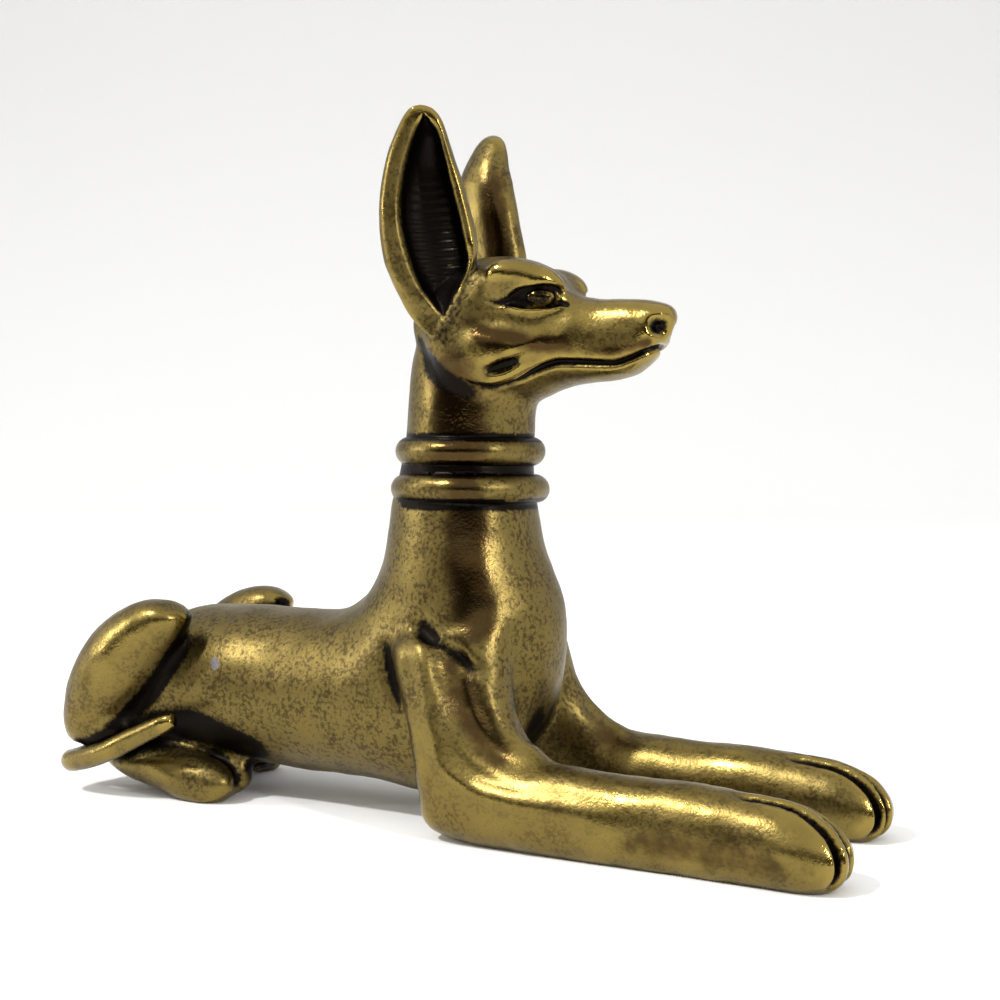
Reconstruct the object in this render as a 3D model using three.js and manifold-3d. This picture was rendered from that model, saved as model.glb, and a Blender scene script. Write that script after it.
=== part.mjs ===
// A recumbent jackal, solid cast brass, in one piece: X runs forward, Y to its left, Z up, in millimetres
import * as THREE from 'three';
import Module from 'manifold-3d';
import { mergeVertices } from 'three/addons/utils/BufferGeometryUtils.js';

const wasm = await Module();
wasm.setup();

// Driving sizes of the figure: rump to paws, haunch to haunch, ground to ear tips
const LENGTH = 55.5;
const WIDTH = 17.5;
const HEIGHT = 45.5;

// The forms below are drawn at these sizes, and stretch in proportion when a driving size changes
const DRAWN = { length: 55.5, width: 17.5, height: 45.5 };
const STRETCH = new THREE.Vector3(LENGTH / DRAWN.length, WIDTH / DRAWN.width, HEIGHT / DRAWN.height);

// Sizes of the details
const COLLAR_RING_THICKNESS = 1.85;
const COLLAR_RING_SPACING = 2.4;
const EAR_THICKNESS = 2.6;
const EAR_RIM = 0.7;
const TAIL_THICKNESS = 1.4;
const TOE_GROOVE_WIDTH = 0.6;
const MOUTH_GAP = 0.5;
const EYE_LENGTH = 2.0;
const NOSTRIL_WIDTH = 0.8;
const CREASE_WIDTH = 0.7;
const LEFT_PAW_SETBACK = 0.5;
const LEFT_FOOT_SHARE = 0.72;
const HEEL = -25.8;

// Height in the drawing at which the soles are cut
const SOLE_HEIGHT = 0.45;

// A point of the drawing, stretched to the driving sizes
function at(x, y, z) {
  return new THREE.Vector3(x, y, z).multiply(STRETCH);
}

// A closed skin over rings of equal length, with a point at each end, as a solid that faces outward
function skin(rings, start, end) {
  const sides = rings[0].length;
  const points = rings.flat().concat(start, end);
  const index = [];
  for (let ring = 0; ring < rings.length - 1; ring += 1) {
    for (let side = 0; side < sides; side += 1) {
      const a = ring * sides + side;
      const b = ring * sides + (side + 1) % sides;
      index.push(a, b, a + sides, b, b + sides, a + sides);
    }
  }
  const last = (rings.length - 1) * sides;
  for (let side = 0; side < sides; side += 1) {
    const next = (side + 1) % sides;
    index.push(rings.length * sides, next, side);
    index.push(rings.length * sides + 1, last + side, last + next);
  }
  const geometry = new THREE.BufferGeometry().setFromPoints(points);
  geometry.setIndex(index);
  return facingOut(geometry);
}

// Six times the volume that an indexed geometry encloses, negative when it is inside out
function signedVolume(geometry) {
  const position = geometry.getAttribute('position');
  const corner = [new THREE.Vector3(), new THREE.Vector3(), new THREE.Vector3()];
  let sum = 0;
  for (let i = 0; i < geometry.index.count; i += 3) {
    corner.forEach((point, k) => point.fromBufferAttribute(position, geometry.index.getX(i + k)));
    sum += corner[0].dot(corner[1].cross(corner[2]));
  }
  return sum;
}

function facingOut(geometry) {
  if (signedVolume(geometry) < 0) {
    const index = geometry.index.array;
    for (let i = 0; i < index.length; i += 3) {
      [index[i], index[i + 1]] = [index[i + 1], index[i]];
    }
  }
  return geometry;
}

// The mirror image on the other side of the figure
function mirrored(geometry) {
  return facingOut(geometry.clone().scale(1, -1, 1));
}

// A form between a crest line and a keel line. Each station has the two points, the half-width across
// them, where between them it is widest (-1 keel, 1 crest) and how square its section is (2 is round).
function loft(stations, { sides = 16, steps = 3, y = 0 } = {}) {
  const curve = list => new THREE.CatmullRomCurve3(list, false, 'catmullrom', 0.5);
  const crest = curve(stations.map(s => at(s.crest[0], s.crest[2] ?? y, s.crest[1])));
  const keel = curve(stations.map(s => at(s.keel[0], s.keel[2] ?? y, s.keel[1])));
  const section = curve(stations.map(s => new THREE.Vector3(s.half, s.widest ?? 0, s.square ?? 2)));
  const count = (stations.length - 1) * steps;
  const middle = t => crest.getPoint(t).add(keel.getPoint(t)).multiplyScalar(0.5);
  const rings = [];
  for (let i = 0; i <= count; i += 1) {
    const t = i / count;
    const reach = 0.5 / count;
    const travel = middle(Math.min(1, t + reach)).sub(middle(Math.max(0, t - reach)));
    const up = crest.getPoint(t).sub(keel.getPoint(t)).multiplyScalar(0.5);
    const { x: half, y: widest, z: square } = section.getPoint(t);
    const across = new THREE.Vector3().crossVectors(up, travel).normalize();
    across.multiplyScalar(Math.max(half, 0.05)).multiply(STRETCH);
    const ring = [];
    for (let side = 0; side < sides; side += 1) {
      const angle = 2 * Math.PI * side / sides;
      const rounded = value => Math.sign(value) * Math.abs(value) ** (2 / square);
      const level = rounded(Math.cos(angle));
      const lift = level + widest * (1 - level * level);
      ring.push(middle(t).addScaledVector(up, lift).addScaledVector(across, rounded(Math.sin(angle))));
    }
    rings.push(ring);
  }
  return skin(rings, middle(0), middle(1));
}

// A round bar through a list of [x, y, z, radius], with tapering or blunt ends as the radii say
function bar(points, { sides = 8, steps = 2 } = {}) {
  const path = new THREE.CatmullRomCurve3(points.map(p => at(p[0], p[1], p[2])), false, 'catmullrom', 0.5);
  const girth = new THREE.CatmullRomCurve3(points.map(p => new THREE.Vector3(p[3], 0, 0)), false,
    'catmullrom', 0.5);
  const count = (points.length - 1) * steps;
  const rings = [];
  for (let i = 0; i <= count; i += 1) {
    const centre = path.getPoint(i / count);
    const tangent = path.getTangent(i / count);
    const across = new THREE.Vector3(0, 0, 1).cross(tangent).normalize();
    const up = new THREE.Vector3().crossVectors(tangent, across);
    const radius = Math.max(girth.getPoint(i / count).x, 0.03);
    const ring = [];
    for (let side = 0; side < sides; side += 1) {
      const angle = 2 * Math.PI * side / sides;
      ring.push(centre.clone().addScaledVector(across, radius * Math.cos(angle))
        .addScaledVector(up, radius * Math.sin(angle)));
    }
    rings.push(ring);
  }
  return skin(rings, path.getPoint(0), path.getPoint(1));
}

// An egg-like swelling: centre, half sizes along, across and up, and turns about Y and Z in degrees
function swelling(centre, half, { tilt = 0, turn = 0, sides = 16 } = {}) {
  const geometry = new THREE.SphereGeometry(1, sides, Math.round(sides * 0.6));
  geometry.scale(half[0], half[1], half[2]);
  geometry.rotateY(-THREE.MathUtils.degToRad(tilt));
  geometry.rotateZ(THREE.MathUtils.degToRad(turn));
  geometry.translate(centre[0], centre[1], centre[2]);
  geometry.scale(STRETCH.x, STRETCH.y, STRETCH.z);
  return geometry;
}

// A geometry as a solid that can be joined and cut
function solid(geometry) {
  const bare = geometry.clone();
  bare.deleteAttribute('normal');
  bare.deleteAttribute('uv');
  const merged = mergeVertices(bare, 1e-4);
  return new wasm.Manifold(new wasm.Mesh({
    numProp: 3,
    vertProperties: new Float32Array(merged.getAttribute('position').array),
    triVerts: new Uint32Array(merged.index.array),
  }));
}

const joined = geometries => geometries.map(solid).reduce((all, next) => all.add(next));
const bothSides = geometries => geometries.concat(geometries.map(mirrored));

// Forms of the right foreleg and their twins on the left, which sit a little further back
const staggered = geometries => geometries.concat(
  geometries.map(mirrored).map(twin => twin.translate(-LEFT_PAW_SETBACK * STRETCH.x, 0, 0)));

// Rump, waist, chest and neck in one sweep, bending upward at the shoulders
function trunk() {
  return loft([
    { crest: [-26.7, 7.4], keel: [-26.6, 4.8], half: 2.2 },
    { crest: [-26.0, 9.8], keel: [-25.6, 3.1], half: 5.0 },
    { crest: [-23.8, 12.1], keel: [-23.2, 2.4], half: 5.9 },
    { crest: [-20.5, 13.2], keel: [-19.5, 2.1], half: 5.9 },
    { crest: [-16.5, 13.4], keel: [-15.5, 2.4], half: 5.9 },
    { crest: [-12.5, 13.4], keel: [-11.0, 2.3], half: 5.7 },
    { crest: [-9.0, 13.6], keel: [-5.5, 2.2], half: 5.9 },
    { crest: [-6.8, 14.7], keel: [0.5, 2.1], half: 6.1 },
    { crest: [-5.5, 16.7], keel: [5.6, 6.0], half: 5.9 },
    { crest: [-4.9, 19.1], keel: [7.1, 12.9], half: 5.5 },
    { crest: [-4.5, 21.6], keel: [5.35, 18.4], half: 4.9 },
    { crest: [-3.8, 24.4], keel: [4.7, 23.0], half: 4.25 },
    { crest: [-3.6, 27.0], keel: [4.8, 26.2], half: 4.0 },
    { crest: [-3.4, 30.2], keel: [5.0, 28.6], half: 3.7 },
    { crest: [-2.6, 33.2], keel: [3.6, 32.0], half: 2.6 },
  ], { sides: 18, steps: 2 });
}

// Skull, cheeks and muzzle
function head() {
  return loft([
    { crest: [-2.8, 32.8], keel: [-2.5, 30.8], half: 1.2 },
    { crest: [-2.5, 34.4], keel: [-1.6, 29.4], half: 3.0 },
    { crest: [-1.0, 36.0], keel: [0.4, 28.2], half: 3.8 },
    { crest: [1.4, 36.8], keel: [2.6, 27.6], half: 4.1 },
    { crest: [4.2, 36.8], keel: [5.0, 27.5], half: 3.8 },
    { crest: [6.6, 35.8], keel: [7.0, 28.2], half: 3.1 },
    { crest: [8.2, 34.3], keel: [8.6, 28.6], half: 2.4, widest: -0.1, square: 2.3 },
    { crest: [9.6, 33.9], keel: [10.2, 28.75], half: 2.05, widest: -0.2, square: 2.6 },
    { crest: [11.4, 33.85], keel: [11.8, 29.0], half: 1.9, widest: -0.2, square: 2.7 },
    { crest: [13.1, 33.65], keel: [13.0, 29.7], half: 1.75, widest: -0.1, square: 2.6 },
    { crest: [14.3, 33.4], keel: [13.7, 30.5], half: 1.4, square: 2.4 },
    { crest: [14.85, 32.8], keel: [14.35, 31.5], half: 0.6 },
  ], { sides: 14, steps: 2 });
}

// Brow and cheek of the right side
function faceSwellings() {
  return [
    swelling([5.3, -2.4, 35.0], [2.7, 1.5, 1.15], { tilt: -14, turn: 16, sides: 10 }),
    swelling([3.4, -2.6, 30.7], [4.0, 1.8, 2.7], { tilt: 18, turn: 8, sides: 10 }),
  ];
}

// The opening of the right eye, and the eyeball that fills most of it
function eyeSocket() {
  return swelling([6.9, -3.1, 33.7], [EYE_LENGTH * 0.85, 0.6, 0.75], { turn: 20, sides: 10 });
}

function eyeball() {
  return swelling([6.95, -2.55, 33.75], [EYE_LENGTH / 2, 0.62, 0.62], { turn: 20, sides: 10 });
}

// The ear as a leaf between its front and back edges, drawn in by an inset and moved out by a shift
function earLeaf(inset, thickness, shift) {
  const facing = { x: 0.31, y: -0.95 };
  return [
    { z: 31.3, front: [0.7, -4.1], back: [0.2, -4.5] },
    { z: 32.7, front: [0.7, -3.8], back: [-1.1, -4.8] },
    { z: 34.4, front: [1.7, -3.4], back: [-2.15, -5.0] },
    { z: 36.2, front: [2.65, -3.1], back: [-2.95, -5.1] },
    { z: 38.4, front: [2.4, -3.1], back: [-3.35, -5.1] },
    { z: 40.9, front: [1.75, -3.3], back: [-3.25, -5.1] },
    { z: 43.2, front: [1.1, -3.7], back: [-2.6, -5.1] },
    { z: 45.0, front: [0.7, -4.35], back: [-1.7, -5.1] },
    { z: 45.85, front: [0.0, -4.75], back: [-0.95, -5.1] },
  ].map(({ z, front, back }) => ({
    crest: [front[0] - inset + shift * facing.x, z, front[1] + shift * facing.y],
    keel: [back[0] + inset + shift * facing.x, z, back[1] + shift * facing.y],
    half: thickness / 2 * Math.min(1, (front[0] - back[0]) / 4),
  }));
}

function earShell() {
  return loft(earLeaf(0, EAR_THICKNESS, 0), { sides: 10, steps: 2 });
}

function earHollow() {
  return loft(earLeaf(EAR_RIM, EAR_THICKNESS, EAR_THICKNESS * 0.55).slice(1, 8), { sides: 8, steps: 1 });
}

// One ring of the collar, level round the neck
function collarRing(outerRadius, height) {
  const bar = COLLAR_RING_THICKNESS / 2;
  const ring = new THREE.TorusGeometry(outerRadius - bar, bar, 7, 20);
  return ring.scale(STRETCH.x, STRETCH.y, 1).translate(0.54 * STRETCH.x, 0, height);
}

function collar() {
  const middle = 23.12 * STRETCH.z;
  return [
    collarRing(4.9, middle + COLLAR_RING_SPACING / 2),
    collarRing(5.2, middle - COLLAR_RING_SPACING / 2),
  ];
}

// Shoulder and breast of the right side, running down into the forearm
function shoulder() {
  return loft([
    { crest: [3.4, 16.6, -2.6], keel: [0.6, 16.2, -2.6], half: 0.8 },
    { crest: [5.3, 14.2, -3.2], keel: [0.0, 13.4, -3.6], half: 1.8 },
    { crest: [5.6, 11.6, -4.0], keel: [0.0, 10.4, -4.5], half: 2.2 },
    { crest: [6.0, 9.2, -4.7], keel: [0.6, 7.4, -5.1], half: 2.3 },
    { crest: [7.2, 7.2, -5.3], keel: [1.2, 4.0, -5.6], half: 2.3 },
    { crest: [9.8, 5.6, -5.9], keel: [2.6, 1.6, -5.9], half: 2.1 },
  ], { sides: 10, steps: 2 });
}

// Upper arm of the right foreleg, from the shoulder down to the elbow
function upperArm() {
  return loft([
    { crest: [2.2, 13.7, -4.2], keel: [-1.4, 13.2, -4.9], half: 0.8 },
    { crest: [3.9, 12.4, -4.3], keel: [-1.9, 11.6, -5.3], half: 1.85, widest: -0.35 },
    { crest: [5.4, 9.8, -4.9], keel: [-0.7, 8.6, -5.8], half: 2.05, widest: -0.4 },
    { crest: [7.0, 7.4, -5.4], keel: [0.2, 5.5, -6.1], half: 2.15, widest: -0.4 },
    { crest: [8.4, 5.6, -5.8], keel: [0.8, 2.9, -6.2], half: 2.2, widest: -0.3 },
    { crest: [8.0, 2.4, -6.0], keel: [1.3, 0.9, -6.0], half: 1.7 },
  ], { sides: 10, steps: 2 });
}

// Forearm and paw of the right foreleg
function foreleg() {
  return loft([
    { crest: [0.5, 2.9], keel: [1.0, 1.3], half: 1.0 },
    { crest: [2.0, 4.7], keel: [2.0, 0.7], half: 2.0 },
    { crest: [5.0, 5.7], keel: [5.0, 0.25], half: 2.35 },
    { crest: [9.5, 5.8], keel: [9.5, 0.1], half: 2.4 },
    { crest: [14.0, 5.6], keel: [14.0, 0.0], half: 2.3 },
    { crest: [17.8, 5.6], keel: [17.8, 0.0], half: 2.25 },
    { crest: [21.3, 5.4], keel: [21.3, 0.0], half: 2.4 },
    { crest: [24.0, 5.1], keel: [24.0, 0.0], half: 2.5 },
    { crest: [26.0, 4.3], keel: [25.8, 0.2], half: 2.25 },
    { crest: [27.1, 3.2], keel: [26.9, 0.9], half: 1.6 },
    { crest: [27.45, 2.4], keel: [27.4, 1.6], half: 0.6 },
  ], { sides: 12, steps: 2, y: -6.0 });
}

// The two grooves that part the three toes of the right forepaw
function toeGrooves() {
  const r = TOE_GROOVE_WIDTH / 2;
  return [-6.85, -5.15].map(y => bar([
    [20.9, y, 5.2, r * 0.3],
    [22.6, y, 4.9, r],
    [24.6, y, 4.55, r],
    [26.2, y, 3.75, r],
    [27.1, y, 2.7, r],
    [27.2, y, 1.2, r],
  ], { sides: 6, steps: 1 }));
}

// Thigh and raised knee of the right hind leg
function haunch() {
  return loft([
    { crest: [-27.8, 4.3], keel: [-26.8, 3.5], half: 1.2 },
    { crest: [-28.0, 6.0], keel: [-24.9, 4.4], half: 2.1 },
    { crest: [-27.6, 8.2], keel: [-22.8, 6.1], half: 2.6 },
    { crest: [-26.4, 10.6], keel: [-21.0, 8.0], half: 2.7 },
    { crest: [-24.5, 12.6], keel: [-19.7, 9.9], half: 2.5 },
    { crest: [-22.2, 13.8], keel: [-18.6, 11.5], half: 2.1 },
    { crest: [-20.1, 14.15], keel: [-17.9, 12.6], half: 1.6 },
    { crest: [-18.9, 13.9], keel: [-17.8, 13.2], half: 0.8 },
  ], { sides: 10, steps: 2, y: -6.1 });
}

// Hind foot of the right side, from the heel to its outer and inner toe
function hindFoot() {
  return [
    loft([
      { crest: [HEEL, 3.1], keel: [HEEL + 0.2, 2.0], half: 0.6 },
      { crest: [-23.4, 3.7], keel: [-23.4, 1.3], half: 1.3 },
      { crest: [-20.2, 4.0], keel: [-20.2, 0.6], half: 1.7 },
      { crest: [-17.4, 3.5], keel: [-17.2, 0.0], half: 1.7 },
      { crest: [-15.6, 2.9], keel: [-15.6, 0.5], half: 1.3 },
      { crest: [-14.7, 2.2], keel: [-14.7, 1.3], half: 0.5 },
    ], { sides: 8, steps: 2, y: -5.0 }),
    loft([
      { crest: [-21.0, 3.6], keel: [-21.0, 1.2], half: 1.2 },
      { crest: [-17.0, 3.7], keel: [-17.0, 0.6], half: 1.4 },
      { crest: [-15.3, 3.3], keel: [-15.3, 0.8], half: 1.1 },
      { crest: [-14.6, 2.6], keel: [-14.6, 1.6], half: 0.5 },
    ], { sides: 8, steps: 1, y: -3.4 }),
  ];
}

// Both hind feet with their heels level, the left one drawn in under the thigh
function hindFeet() {
  const heel = HEEL * STRETCH.x;
  const left = hindFoot().map(mirrored).map(foot => foot
    .translate(-heel, 0, 0).scale(LEFT_FOOT_SHARE, 1, 1).translate(heel, 0, 0));
  return hindFoot().concat(left);
}

// The tail, from the rump round the right haunch
function tail() {
  const r = TAIL_THICKNESS / 2;
  return bar([
    [-24.9, 0.0, 9.4, r * 1.3],
    [-26.7, -0.4, 7.0, r * 1.2],
    [-27.1, -2.0, 4.6, r],
    [-27.2, -4.8, 2.85, r],
    [-27.0, -7.3, 2.6, r],
    [-23.5, -8.1, 3.6, r],
    [-20.6, -8.0, 5.0, r * 0.8],
    [-17.7, -7.7, 6.3, r * 0.35],
  ], { sides: 8, steps: 2 });
}

// Creases of the right side: behind the cheek, across the shoulder and behind the foreleg
function creases() {
  const r = CREASE_WIDTH / 2;
  return [
    bar([[7.4, -3.1, 31.3, r * 0.4], [5.6, -4.4, 30.2, r], [4.0, -4.6, 29.0, r * 0.4]], { sides: 6 }),
    bar([[0.6, -6.4, 13.5, r * 0.6], [2.6, -6.4, 12.2, r], [5.4, -5.9, 10.8, r * 0.4]], { sides: 6 }),
    bar([[-2.2, -5.7, 12.2, r * 1.4], [-1.4, -6.3, 9.4, r], [-0.3, -6.4, 6.4, r], [0.4, -6.1, 3.4, r]],
      { sides: 6 }),
  ];
}

// The mouth line, from under each cheek round the front of the muzzle
function mouth() {
  const r = MOUTH_GAP / 2;
  const right = [
    [4.0, -3.2, 28.4, r * 0.5],
    [5.8, -2.6, 28.9, r],
    [7.4, -2.5, 29.6, r],
    [9.2, -2.15, 29.65, r],
    [11.0, -1.95, 29.8, r],
    [12.6, -1.7, 30.15, r],
    [13.6, -1.2, 30.45, r],
  ];
  const left = right.map(([x, y, z, radius]) => [x, -y, z, radius]).reverse();
  return bar([...right, [14.05, 0, 30.5, r], ...left], { sides: 6, steps: 1 });
}

function nostril() {
  const r = NOSTRIL_WIDTH / 2;
  return swelling([14.25, -1.05, 31.9], [r * 1.2, r, r * 0.8], { sides: 8 });
}

// Everything below the soles, cut off flat so that the figure stands
function underground() {
  const block = new THREE.BoxGeometry(LENGTH * 2, WIDTH * 4, HEIGHT / 4);
  return block.translate(0, 0, SOLE_HEIGHT * STRETCH.z - HEIGHT / 8);
}

function figure() {
  const masses = joined([trunk(), head(), tail()]);
  const limbs = joined([
    ...bothSides([shoulder(), upperArm(), haunch()]),
    ...staggered([foreleg()]),
    ...hindFeet(),
  ]);
  const features = joined(bothSides([...faceSwellings(), earShell()]));
  const whole = masses.add(limbs).add(features);
  const carved = whole.subtract(joined([
    ...bothSides([earHollow(), eyeSocket(), nostril(), ...creases()]),
    ...staggered(toeGrooves()),
    mouth(),
    underground(),
  ]));
  return carved.add(joined([...bothSides([eyeball()]), ...collar()]));
}

const { vertProperties, triVerts } = figure().getMesh();
const geometry = new THREE.BufferGeometry();
geometry.setAttribute('position', new THREE.BufferAttribute(new Float32Array(vertProperties), 3));
geometry.setIndex(Array.from(triVerts));
geometry.computeVertexNormals();
geometry.computeBoundingBox();

// The drawing's origin moves to the middle of the footprint, on the ground
const middle = geometry.boundingBox.getCenter(new THREE.Vector3());
geometry.translate(-middle.x, -middle.y, -geometry.boundingBox.min.z);

const brass = new THREE.MeshStandardMaterial({ color: 0x9a7a35, roughness: 0.38, metalness: 1 });
const jackal = new THREE.Mesh(geometry, brass);
jackal.name = 'jackal_figure';

const part = new THREE.Group();
part.add(jackal);

export default part;
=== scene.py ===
# A recumbent jackal in solid cast brass on a pale studio floor, in metres: +X to its nose, +Y to its left
import math

import bmesh
import bpy
import numpy as np
from mathutils import Matrix, Vector, kdtree, noise


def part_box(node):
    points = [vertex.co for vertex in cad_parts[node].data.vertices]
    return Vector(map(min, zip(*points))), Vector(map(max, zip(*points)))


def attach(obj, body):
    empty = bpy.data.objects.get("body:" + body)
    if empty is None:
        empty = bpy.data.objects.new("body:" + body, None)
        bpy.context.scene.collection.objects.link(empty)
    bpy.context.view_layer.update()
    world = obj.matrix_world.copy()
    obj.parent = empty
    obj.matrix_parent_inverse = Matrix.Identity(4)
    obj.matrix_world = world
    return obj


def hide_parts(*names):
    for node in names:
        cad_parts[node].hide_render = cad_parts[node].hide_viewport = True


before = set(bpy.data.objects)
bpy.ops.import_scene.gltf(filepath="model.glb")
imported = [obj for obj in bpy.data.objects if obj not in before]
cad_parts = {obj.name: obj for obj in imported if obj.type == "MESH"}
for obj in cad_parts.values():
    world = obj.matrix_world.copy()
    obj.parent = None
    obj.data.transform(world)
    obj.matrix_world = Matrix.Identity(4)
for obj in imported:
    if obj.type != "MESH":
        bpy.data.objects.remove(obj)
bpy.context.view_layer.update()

# The casting is drawn in millimetres from this origin and at this size, and takes its real size from the
# frame. What is listed for one side is the right side, at -Y, and the left side mirrors it
MM = 0.001
ORIGIN = Vector((-0.287, -0.064, 0.45))
DRAWN = Vector((55.474, 17.464, 45.467))
NODE = "jackal_figure"
low, high = (Vector(corner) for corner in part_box(NODE))
STRETCH = Vector([(high[k] - low[k]) / MM / DRAWN[k] for k in range(3)])

# Fineness of the casting's skin, and the boxes round cheeks, nose and toes where it is split finer still
SKIN = 0.28
FINE_REGIONS = [
    ((2.6, -5, 28.0), (16, -1.0, 35.8)), ((2.6, 1.0, 28.0), (16, 5, 35.8)),
    ((12.0, -1.0, 29.6), (16, 1.0, 31.6)), ((21.2, -9.5, 0.8), (28.5, 9.5, 7)),
]

# Masses of the body. A station is a point on the crest line and one on the keel line as (x, z) or
# (x, z, y), the half-width there, where between keel (-1) and crest (1) it is widest, and how square it is

TRUNK = [
    ((-26.7, 7.4), (-26.6, 4.8), 2.2), ((-26.0, 9.8), (-25.6, 3.1), 5.0),
    ((-23.8, 12.1), (-23.2, 2.4), 5.9), ((-20.5, 13.2), (-19.5, 2.1), 5.9),
    ((-16.5, 13.4), (-15.5, 2.4), 5.9), ((-12.5, 13.4), (-11.0, 2.3), 5.7),
    ((-9.0, 13.6), (-5.5, 2.2), 5.9), ((-6.8, 14.7), (0.5, 2.1), 6.1), ((-5.5, 16.7), (5.6, 6.0), 5.9),
    ((-4.9, 19.1), (7.1, 12.9), 5.5), ((-4.5, 21.6), (5.35, 18.4), 4.9), ((-3.8, 24.4), (4.7, 23.0), 4.25),
    ((-3.6, 27.0), (4.8, 26.2), 4.0), ((-3.4, 30.2), (5.0, 28.6), 3.7), ((-2.6, 33.2), (3.6, 32.0), 2.6),
]
HEAD = [
    ((-2.8, 32.8), (-2.5, 30.8), 1.2), ((-2.5, 34.4), (-1.6, 29.4), 3.0), ((-1.0, 36.0), (0.4, 28.2), 3.8),
    ((1.4, 36.8), (2.6, 27.6), 4.1), ((4.2, 36.8), (5.0, 27.5), 3.8), ((6.6, 35.8), (7.0, 28.2), 3.1),
    ((8.2, 34.3), (8.6, 28.6), 2.4, -0.1, 2.3), ((9.6, 33.9), (10.2, 28.75), 2.05, -0.2, 2.6),
    ((11.4, 33.85), (11.8, 29.0), 1.9, -0.2, 2.7), ((13.1, 33.65), (13.0, 29.7), 1.75, -0.1, 2.6),
    ((14.3, 33.4), (13.7, 30.5), 1.4, 0.0, 2.4), ((14.85, 32.8), (14.35, 31.5), 0.6),
]
SHOULDER = [
    ((3.4, 16.6, -2.6), (0.6, 16.2, -2.6), 0.8), ((5.3, 14.2, -3.2), (0.0, 13.4, -3.6), 1.8),
    ((5.6, 11.6, -4.0), (0.0, 10.4, -4.5), 2.2), ((6.0, 9.2, -4.7), (0.6, 7.4, -5.1), 2.3),
    ((7.2, 7.2, -5.3), (1.2, 4.0, -5.6), 2.3), ((9.8, 5.6, -5.9), (2.6, 1.6, -5.9), 2.1),
]
UPPER_ARM = [
    ((2.2, 13.7, -4.2), (-1.4, 13.2, -4.9), 0.8),
    ((3.9, 12.4, -4.3), (-1.9, 11.6, -5.3), 1.85, -0.35, 2.0),
    ((5.4, 9.8, -4.9), (-0.7, 8.6, -5.8), 2.05, -0.4, 2.0),
    ((7.0, 7.4, -5.4), (0.2, 5.5, -6.1), 2.15, -0.4, 2.0),
    ((8.4, 5.6, -5.8), (0.8, 2.9, -6.2), 2.2, -0.3, 2.0), ((8.0, 2.4, -6.0), (1.3, 0.9, -6.0), 1.7),
]
FORELEG = [
    ((0.5, 2.9), (1.0, 1.3), 1.0), ((2.0, 4.7), (2.0, 0.7), 2.0), ((5.0, 5.7), (5.0, 0.25), 2.35),
    ((9.5, 5.8), (9.5, 0.1), 2.4), ((14.0, 5.6), (14.0, 0.0), 2.3), ((17.8, 5.6), (17.8, 0.0), 2.25),
    ((21.3, 5.4), (21.3, 0.0), 2.4), ((24.0, 5.1), (24.0, 0.0), 2.5), ((26.0, 4.3), (25.8, 0.2), 2.25),
    ((27.1, 3.2), (26.9, 0.9), 1.6), ((27.45, 2.4), (27.4, 1.6), 0.6),
]
HAUNCH = [
    ((-27.8, 4.3), (-26.8, 3.5), 1.2), ((-28.0, 6.0), (-24.9, 4.4), 2.1),
    ((-27.6, 8.2), (-22.8, 6.1), 2.6), ((-26.4, 10.6), (-21.0, 8.0), 2.7),
    ((-24.5, 12.6), (-19.7, 9.9), 2.5), ((-22.2, 13.8), (-18.6, 11.5), 2.1),
    ((-20.1, 14.15), (-17.9, 12.6), 1.6), ((-18.9, 13.9), (-17.8, 13.2), 0.8),
]
HIND_FOOT = [
    ((-25.8, 3.1), (-25.6, 2.0), 0.6), ((-23.4, 3.7), (-23.4, 1.3), 1.3),
    ((-20.2, 4.0), (-20.2, 0.6), 1.7), ((-17.4, 3.5), (-17.2, 0.0), 1.7),
    ((-15.6, 2.9), (-15.6, 0.5), 1.3), ((-14.7, 2.2), (-14.7, 1.3), 0.5),
]
INNER_HIND_TOE = [
    ((-21.0, 3.6), (-21.0, 1.2), 1.2), ((-17.0, 3.7), (-17.0, 0.6), 1.4),
    ((-15.3, 3.3), (-15.3, 0.8), 1.1), ((-14.6, 2.6), (-14.6, 1.6), 0.5),
]
FORELEG_Y, HAUNCH_Y, HIND_FOOT_Y, INNER_TOE_Y = -6.0, -6.1, -5.0, -3.4

# The left forepaw lies a little further back, and the left hind foot is shorter from its heel
LEFT_PAW_SETBACK = 0.5
LEFT_FOOT_SHARE = 0.72
HEEL = -25.8

# Swellings on the body: the middle, half-sizes, then degrees of tilt about Y and of turn about Z
HEEL_PAD = ((-24.4, -6.3, 4.7), (2.3, 1.5, 1.3), 22, 0)
BROW_RIDGE = ((5.3, -2.4, 35.0), (2.7, 1.5, 1.15), -14, 16)
CHEEK = ((3.4, -2.65, 30.5), (3.9, 1.9, 2.4), 16, 8)
TEMPLE = ((2.35, -3.1, 33.5), (1.55, 1.25, 2.6), -14, 14)
EAR_ROOT = ((0.7, -3.6, 31.5), (1.6, 1.0, 1.4), 20, 0)
EYEBALL = ((6.8, -2.72, 33.85), (0.88, 0.5, 0.55), 0, 24)

# The ear: height, front edge and back edge as (x, y)
EAR = [
    (31.3, (0.7, -4.1), (0.2, -4.5)), (32.7, (0.7, -3.8), (-1.1, -4.8)),
    (34.4, (1.7, -3.4), (-2.15, -5.0)), (36.2, (2.65, -3.1), (-2.95, -5.1)),
    (38.4, (2.4, -3.1), (-3.35, -5.1)), (40.9, (1.75, -3.3), (-3.25, -5.1)),
    (43.2, (1.1, -3.7), (-2.6, -5.1)), (45.0, (0.7, -4.35), (-1.7, -5.1)),
    (45.85, (0.0, -4.75), (-0.95, -5.1)),
]
EAR_BACK, EAR_RIM_HEIGHT, EAR_HOLLOW = 1.45, 0.75, 1.3
EAR_FULL_WIDTH = 4.5
# The share of the ear's height where its tip starts to round off, and the share that this takes
EAR_TIP_START, EAR_TIP_RUN = 0.955, 0.045
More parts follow.
